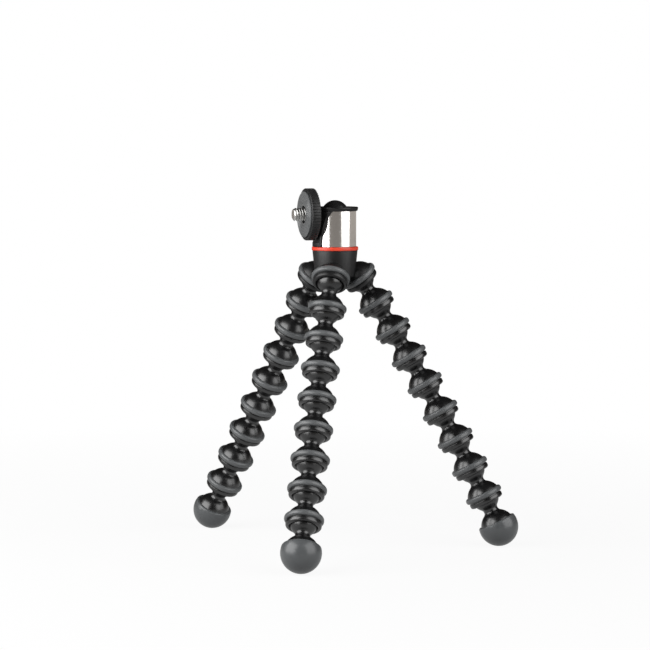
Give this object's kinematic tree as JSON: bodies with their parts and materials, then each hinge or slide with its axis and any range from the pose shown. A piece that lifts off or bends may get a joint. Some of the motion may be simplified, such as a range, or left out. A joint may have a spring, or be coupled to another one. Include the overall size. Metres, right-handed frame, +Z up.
{
  "type": "flexible leg tripod",
  "caption": "Tabletop tripod with bendable legs of ball-and-socket links, rubber grip rings and round feet, and a small ball head that drops on its side for a camera.",
  "frame": {"origin": "on the floor, under the hub's axis", "axes": "+Z up along the hub's axis, -Y towards the viewer of the picture, +X to the picture's right"},
  "size_m": [0.1603, 0.1493, 0.1732],
  "materials": {
    "hub_plastic": "satin black moulded plastic",
    "link_plastic": "glossy black moulded plastic",
    "grip_rubber": "matte dark grey rubber",
    "sole_rubber": "matte dark grey rubber",
    "accent_red": "satin red plastic",
    "cup_nylon": "natural nylon",
    "head_plastic": "satin black moulded plastic",
    "sleeve_steel": "polished stainless steel",
    "ball_black": "black anodised",
    "disc_plastic": "matte black moulded plastic",
    "screw_steel": "plated steel"
  },
  "bodies": {
    "hub": {"hub_body": "hub_plastic", "hub_grip_rings": "grip_rubber", "accent_ring": "accent_red", "pressure_cup": "cup_nylon"},
    "collar": {"head_core": "head_plastic", "steel_sleeve": "sleeve_steel"},
    "ball": {"ball_stem": "ball_black"},
    "plate": {"camera_disc": "disc_plastic", "camera_screw": "screw_steel"},
    "front_leg_1": {"front_link_1": "link_plastic", "front_grip_1": "grip_rubber"},
    "front_leg_2": {"front_link_2": "link_plastic", "front_grip_2": "grip_rubber"},
    "front_leg_3": {"front_link_3": "link_plastic", "front_grip_3": "grip_rubber"},
    "front_leg_4": {"front_link_4": "link_plastic", "front_grip_4": "grip_rubber"},
    "front_leg_5": {"front_link_5": "link_plastic", "front_grip_5": "grip_rubber"},
    "front_leg_6": {"front_link_6": "link_plastic", "front_grip_6": "grip_rubber"},
    "front_leg_7": {"front_link_7": "link_plastic", "front_grip_7": "grip_rubber"},
    "front_leg_8": {"front_link_8": "link_plastic", "front_grip_8": "grip_rubber"},
    "front_toe": {"front_foot": "sole_rubber"},
    "right_leg_1": {"right_link_1": "link_plastic", "right_grip_1": "grip_rubber"},
    "right_leg_2": {"right_link_2": "link_plastic", "right_grip_2": "grip_rubber"},
    "right_leg_3": {"right_link_3": "link_plastic", "right_grip_3": "grip_rubber"},
    "right_leg_4": {"right_link_4": "link_plastic", "right_grip_4": "grip_rubber"},
    "right_leg_5": {"right_link_5": "link_plastic", "right_grip_5": "grip_rubber"},
    "right_leg_6": {"right_link_6": "link_plastic", "right_grip_6": "grip_rubber"},
    "right_leg_7": {"right_link_7": "link_plastic", "right_grip_7": "grip_rubber"},
    "right_leg_8": {"right_link_8": "link_plastic", "right_grip_8": "grip_rubber"},
    "right_toe": {"right_foot": "sole_rubber"},
    "left_leg_1": {"left_link_1": "link_plastic", "left_grip_1": "grip_rubber"},
    "left_leg_2": {"left_link_2": "link_plastic", "left_grip_2": "grip_rubber"},
    "left_leg_3": {"left_link_3": "link_plastic", "left_grip_3": "grip_rubber"},
    "left_leg_4": {"left_link_4": "link_plastic", "left_grip_4": "grip_rubber"},
    "left_leg_5": {"left_link_5": "link_plastic", "left_grip_5": "grip_rubber"},
    "left_leg_6": {"left_link_6": "link_plastic", "left_grip_6": "grip_rubber"},
    "left_leg_7": {"left_link_7": "link_plastic", "left_grip_7": "grip_rubber"},
    "left_leg_8": {"left_link_8": "link_plastic", "left_grip_8": "grip_rubber"},
    "left_toe": {"left_foot": "sole_rubber"}
  },
  "joints": [
    {"name": "collar_pan", "type": "hinge", "parent": "hub", "child": "collar", "pos_m": [0, 0, 0.1607], "axis": [0, 0, 1], "continuous": true},
    {"name": "ball_tilt", "type": "hinge", "parent": "collar", "child": "ball", "pos_m": [0, 0, 0.1607], "axis": [-0.309, 0.9511, 0], "range_deg": [0, 120]},
    {"name": "disc_spin", "type": "hinge", "parent": "ball", "child": "plate", "pos_m": [-0.01018, -0.00331, 0.1607], "axis": [-0.9511, -0.309, 0], "continuous": true},
    {"name": "front_bend_1", "type": "hinge", "parent": "hub", "child": "front_leg_1", "pos_m": [-0.00226, -0.0128, 0.1294], "axis": [-0.9588, 0.284, 0], "range_deg": [-14, 45]},
    {"name": "front_bend_2", "type": "hinge", "parent": "front_leg_1", "child": "front_leg_2", "pos_m": [-0.0039, -0.01834, 0.11523], "axis": [-0.2423, -0.8813, 0.4057], "range_deg": [-28, 28]},
    {"name": "front_bend_3", "type": "hinge", "parent": "front_leg_2", "child": "front_leg_3", "pos_m": [-0.00554, -0.02433, 0.10125], "axis": [0.9692, -0.2462, 0], "range_deg": [-28, 28]},
    {"name": "front_bend_4", "type": "hinge", "parent": "front_leg_3", "child": "front_leg_4", "pos_m": [-0.00718, -0.03075, 0.08746], "axis": [0.2015, 0.8644, -0.4607], "range_deg": [-28, 28]},
    {"name": "front_bend_5", "type": "hinge", "parent": "front_leg_4", "child": "front_leg_5", "pos_m": [-0.00878, -0.03762, 0.07388], "axis": [-0.9781, 0.2079, 0], "range_deg": [-28, 28]},
    {"name": "front_bend_6", "type": "hinge", "parent": "front_leg_5", "child": "front_leg_6", "pos_m": [-0.01033, -0.04491, 0.06052], "axis": [-0.1618, -0.8424, 0.514], "range_deg": [-28, 28]},
    {"name": "front_bend_7", "type": "hinge", "parent": "front_leg_6", "child": "front_leg_7", "pos_m": [-0.01181, -0.05264, 0.0474], "axis": [0.9856, -0.1693, 0], "range_deg": [-28, 28]},
    {"name": "front_bend_8", "type": "hinge", "parent": "front_leg_7", "child": "front_leg_8", "pos_m": [-0.01321, -0.06078, 0.03452], "axis": [0.1237, 0.8155, -0.5654], "range_deg": [-28, 28]},
    {"name": "front_foot_bend", "type": "hinge", "parent": "front_leg_8", "child": "front_toe", "pos_m": [-0.01451, -0.06933, 0.0219], "axis": [-0.9914, 0.1305, 0], "range_deg": [-28, 28]},
    {"name": "right_bend_1", "type": "hinge", "parent": "hub", "child": "right_leg_1", "pos_m": [0.01222, 0.00445, 0.1294], "axis": [0, -1, 0], "range_deg": [-24, 31]},
    {"name": "right_bend_2", "type": "hinge", "parent": "right_leg_1", "child": "right_leg_2", "pos_m": [0.02053, 0.00445, 0.11655], "axis": [0.8473, -0.0222, 0.5306], "range_deg": [-28, 28]},
    {"name": "right_bend_3", "type": "hinge", "parent": "right_leg_2", "child": "right_leg_3", "pos_m": [0.02865, 0.00423, 0.10359], "axis": [0.0523, 0.9986, 0], "range_deg": [-28, 28]},
    {"name": "right_bend_4", "type": "hinge", "parent": "right_leg_3", "child": "right_leg_4", "pos_m": [0.03656, 0.00382, 0.0905], "axis": [-0.8608, 0.0677, -0.5045], "range_deg": [-28, 28]},
    {"name": "right_bend_5", "type": "hinge", "parent": "right_leg_4", "child": "right_leg_5", "pos_m": [0.04425, 0.00321, 0.07728], "axis": [-0.1045, -0.9945, 0], "range_deg": [-28, 28]},
    {"name": "right_bend_6", "type": "hinge", "parent": "right_leg_5", "child": "right_leg_6", "pos_m": [0.05172, 0.00243, 0.06396], "axis": [0.8709, -0.1147, 0.4779], "range_deg": [-28, 28]},
    {"name": "right_bend_7", "type": "hinge", "parent": "right_leg_6", "child": "right_leg_7", "pos_m": [0.05897, 0.00147, 0.05052], "axis": [0.1564, 0.9877, 0], "range_deg": [-28, 28]},
    {"name": "right_bend_8", "type": "hinge", "parent": "right_leg_7", "child": "right_leg_8", "pos_m": [0.06599, 0.00036, 0.03697], "axis": [-0.8777, 0.1627, -0.4508], "range_deg": [-28, 28]},
    {"name": "right_foot_bend", "type": "hinge", "parent": "right_leg_8", "child": "right_toe", "pos_m": [0.07277, -0.00089, 0.02331], "axis": [-0.2079, -0.9781, 0], "range_deg": [-28, 28]},
    {"name": "left_bend_1", "type": "hinge", "parent": "hub", "child": "left_leg_1", "pos_m": [-0.00996, 0.00836, 0.1294], "axis": [0.6756, 0.7373, 0], "range_deg": [-21, 37]},
    {"name": "left_bend_2", "type": "hinge", "parent": "left_leg_1", "child": "left_leg_2", "pos_m": [-0.0156, 0.01352, 0.11615], "axis": [-0.6457, 0.5788, 0.4981], "range_deg": [-28, 28]},
    {"name": "left_bend_3", "type": "hinge", "parent": "left_leg_2", "child": "left_leg_3", "pos_m": [-0.02127, 0.01861, 0.10288], "axis": [-0.6593, -0.7518, 0], "range_deg": [-28, 28]},
    {"name": "left_bend_4", "type": "hinge", "parent": "left_leg_3", "child": "left_leg_4", "pos_m": [-0.02698, 0.02362, 0.0896], "axis": [0.6598, -0.566, -0.4943], "range_deg": [-28, 28]},
    {"name": "left_bend_5", "type": "hinge", "parent": "left_leg_4", "child": "left_leg_5", "pos_m": [-0.03272, 0.02854, 0.0763], "axis": [0.6428, 0.766, 0], "range_deg": [-28, 28]},
    {"name": "left_bend_6", "type": "hinge", "parent": "left_leg_5", "child": "left_leg_6", "pos_m": [-0.03849, 0.03338, 0.06298], "axis": [-0.6736, 0.5528, 0.4905], "range_deg": [-28, 28]},
    {"name": "left_bend_7", "type": "hinge", "parent": "left_leg_6", "child": "left_leg_7", "pos_m": [-0.04429, 0.03814, 0.04965], "axis": [-0.6259, -0.7799, 0], "range_deg": [-28, 28]},
    {"name": "left_bend_8", "type": "hinge", "parent": "left_leg_7", "child": "left_leg_8", "pos_m": [-0.05012, 0.04282, 0.0363], "axis": [0.6872, -0.5393, -0.4867], "range_deg": [-28, 28]},
    {"name": "left_foot_bend", "type": "hinge", "parent": "left_leg_8", "child": "left_toe", "pos_m": [-0.05598, 0.04742, 0.02293], "axis": [0.6088, 0.7934, 0], "range_deg": [-28, 28]}
  ]
}
